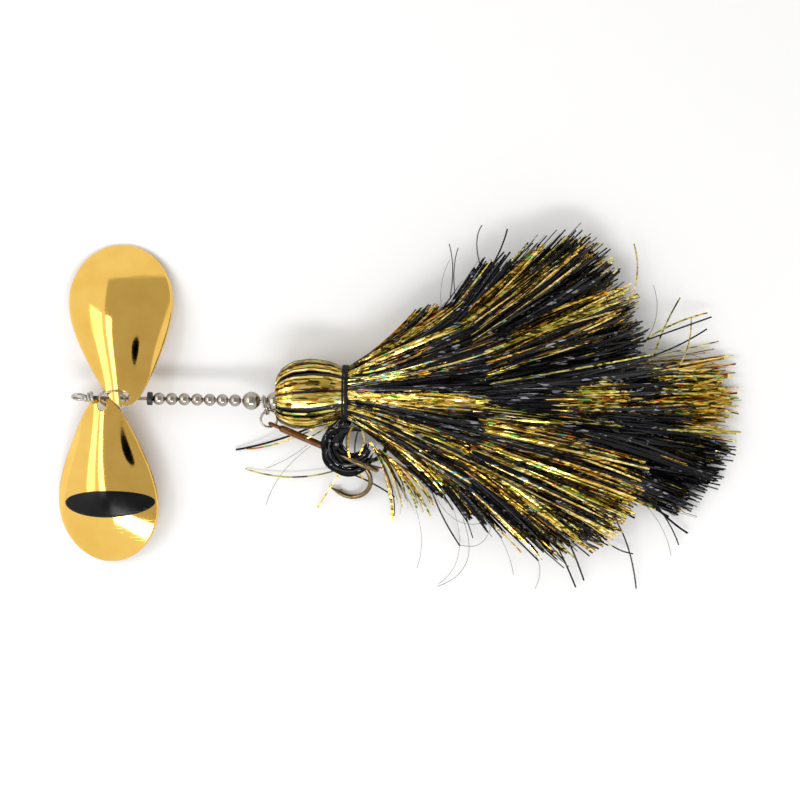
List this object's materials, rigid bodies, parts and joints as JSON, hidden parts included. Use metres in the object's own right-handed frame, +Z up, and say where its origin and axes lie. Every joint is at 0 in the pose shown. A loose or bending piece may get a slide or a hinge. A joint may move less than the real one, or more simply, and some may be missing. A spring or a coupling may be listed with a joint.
{
  "type": "inline spinnerbait",
  "caption": "In-line fishing spinner: a wire shaft with an eye at each end, domed blades on a clevis ring, bearing beads, tied tinsel skirts and treble hooks.",
  "frame": {"origin": "under the middle of the bounding box, on the table that the lure lies on", "axes": "+X along the shaft from the line tie to the tail, +Y across it towards the plain blade, +Z up off the table"},
  "size_m": [0.2584, 0.1288, 0.0344],
  "materials": {
    "spring_wire": "drawn stainless spring wire, dulled by handling",
    "polished_nickel": "polished nickel plate",
    "gold_plate": "mirror gold plate on brass, with fine scratches",
    "black_print": "smooth black label, no lettering",
    "black_plastic": "moulded, satin",
    "core_plastic": "extruded tube",
    "bronze_finish": "bronzed high-carbon steel, browner where the shank is brazed",
    "black_thread": "waxed rod-binding thread",
    "gold_black_tinsel": "flat metallised film strands, gold over black, with a rainbow sparkle",
    "black_gold_tinsel": "flat glossy black film strands with gold among them"
  },
  "bodies": {
    "lure_body": {"wire_shaft": "spring_wire", "front_core_tube": "core_plastic", "middle_core_tube": "core_plastic", "rear_core_tube": "core_plastic", "front_skirt": "gold_black_tinsel", "middle_skirt": "gold_black_tinsel", "rear_skirt": "black_gold_tinsel", "front_thread_collar": "black_thread", "middle_thread_collar": "black_thread", "rear_thread_collar": "black_thread"},
    "clevis": {"blade_clevis": "spring_wire"},
    "blade_ring": {"blade_split_ring": "polished_nickel"},
    "upper_blade": {"plain_blade": "gold_plate"},
    "lower_blade": {"badge_blade": "gold_plate", "blade_badge": "black_print"},
    "washer": {"bearing_washer": "black_plastic"},
    "hanger": {"hook_hanger_ring": "polished_nickel"},
    "front_ring": {"front_split_ring": "polished_nickel"},
    "front_hook": {"front_treble_hook": "bronze_finish"},
    "rear_ring": {"rear_split_ring": "polished_nickel"},
    "rear_hook": {"rear_treble_hook": "bronze_finish"},
    "small_bead_1_body": {"small_bead_1": "polished_nickel"},
    "small_bead_2_body": {"small_bead_2": "polished_nickel"},
    "small_bead_3_body": {"small_bead_3": "polished_nickel"},
    "small_bead_4_body": {"small_bead_4": "polished_nickel"},
    "small_bead_5_body": {"small_bead_5": "polished_nickel"},
    "small_bead_6_body": {"small_bead_6": "polished_nickel"},
    "small_bead_7_body": {"small_bead_7": "polished_nickel"},
    "large_bead_1_body": {"large_bead_1": "polished_nickel"},
    "large_bead_2_body": {"large_bead_2": "polished_nickel"},
    "rear_bead_body": {"rear_bead": "polished_nickel"}
  },
  "joints": [
    {"name": "clevis_spin", "type": "hinge", "parent": "lure_body", "child": "clevis", "pos_m": [-0.1036, -0.00152, 0.0118], "axis": [1, 0, 0], "continuous": true},
    {"name": "blade_ring_swing", "type": "hinge", "parent": "clevis", "child": "blade_ring", "pos_m": [-0.1036, -0.00468, 0.01032], "axis": [1, 0, 0], "range_deg": [0, 22]},
    {"name": "upper_blade_swing", "type": "hinge", "parent": "blade_ring", "child": "upper_blade", "pos_m": [-0.10297, -0.00128, 0.0146], "axis": [-0.259, 0.5541, 0.7911], "range_deg": [-14, 6]},
    {"name": "lower_blade_lift", "type": "hinge", "parent": "clevis", "child": "lower_blade", "pos_m": [-0.1121, -0.00451, 0.0109], "axis": [1, 0, 0], "range_deg": [-40, 4]},
    {"name": "washer_spin", "type": "hinge", "parent": "lure_body", "child": "washer", "pos_m": [-0.0938, -0.00152, 0.0118], "axis": [1, 0, 0], "continuous": true},
    {"name": "hanger_swing", "type": "hinge", "parent": "lure_body", "child": "hanger", "pos_m": [-0.04993, -0.00152, 0.0118], "axis": [1, 0, 0], "range_deg": [-30, 0]},
    {"name": "front_ring_swing", "type": "hinge", "parent": "hanger", "child": "front_ring", "pos_m": [-0.0492, -0.00562, 0.0118], "axis": [0, 0, 1], "range_deg": [-30, 0]},
    {"name": "front_hook_swing", "type": "hinge", "parent": "front_ring", "child": "front_hook", "pos_m": [-0.0463, -0.01072, 0.00945], "axis": [0, 0, 1], "range_deg": [-60, 3]},
    {"name": "rear_ring_swing", "type": "hinge", "parent": "lure_body", "child": "rear_ring", "pos_m": [0.029, -0.00152, 0.0118], "axis": [0, 0, 1], "range_deg": [-4, 4]},
    {"name": "rear_hook_swing", "type": "hinge", "parent": "rear_ring", "child": "rear_hook", "pos_m": [0.035, -0.00152, 0.00945], "axis": [0, 0, 1], "range_deg": [-5, 5]},
    {"name": "small_bead_1_spin", "type": "hinge", "parent": "lure_body", "child": "small_bead_1_body", "pos_m": [-0.09035, -0.00152, 0.0118], "axis": [1, 0, 0], "continuous": true},
    {"name": "small_bead_2_spin", "type": "hinge", "parent": "lure_body", "child": "small_bead_2_body", "pos_m": [-0.08553, -0.00152, 0.0118], "axis": [1, 0, 0], "continuous": true},
    {"name": "small_bead_3_spin", "type": "hinge", "parent": "lure_body", "child": "small_bead_3_body", "pos_m": [-0.08071, -0.00152, 0.0118], "axis": [1, 0, 0], "continuous": true},
    {"name": "small_bead_4_spin", "type": "hinge", "parent": "lure_body", "child": "small_bead_4_body", "pos_m": [-0.07589, -0.00152, 0.0118], "axis": [1, 0, 0], "continuous": true},
    {"name": "small_bead_5_spin", "type": "hinge", "parent": "lure_body", "child": "small_bead_5_body", "pos_m": [-0.07107, -0.00152, 0.0118], "axis": [1, 0, 0], "continuous": true},
    {"name": "small_bead_6_spin", "type": "hinge", "parent": "lure_body", "child": "small_bead_6_body", "pos_m": [-0.06625, -0.00152, 0.0118], "axis": [1, 0, 0], "continuous": true},
    {"name": "small_bead_7_spin", "type": "hinge", "parent": "lure_body", "child": "small_bead_7_body", "pos_m": [-0.06143, -0.00152, 0.0118], "axis": [1, 0, 0], "continuous": true},
    {"name": "large_bead_1_spin", "type": "hinge", "parent": "lure_body", "child": "large_bead_1_body", "pos_m": [-0.05525, -0.00152, 0.0118], "axis": [1, 0, 0], "continuous": true},
    {"name": "large_bead_2_spin", "type": "hinge", "parent": "lure_body", "child": "large_bead_2_body", "pos_m": [-0.0463, -0.00152, 0.0118], "axis": [1, 0, 0], "continuous": true},
    {"name": "rear_bead_spin", "type": "hinge", "parent": "lure_body", "child": "rear_bead_body", "pos_m": [0.0185, -0.00152, 0.0118], "axis": [1, 0, 0], "continuous": true}
  ]
}
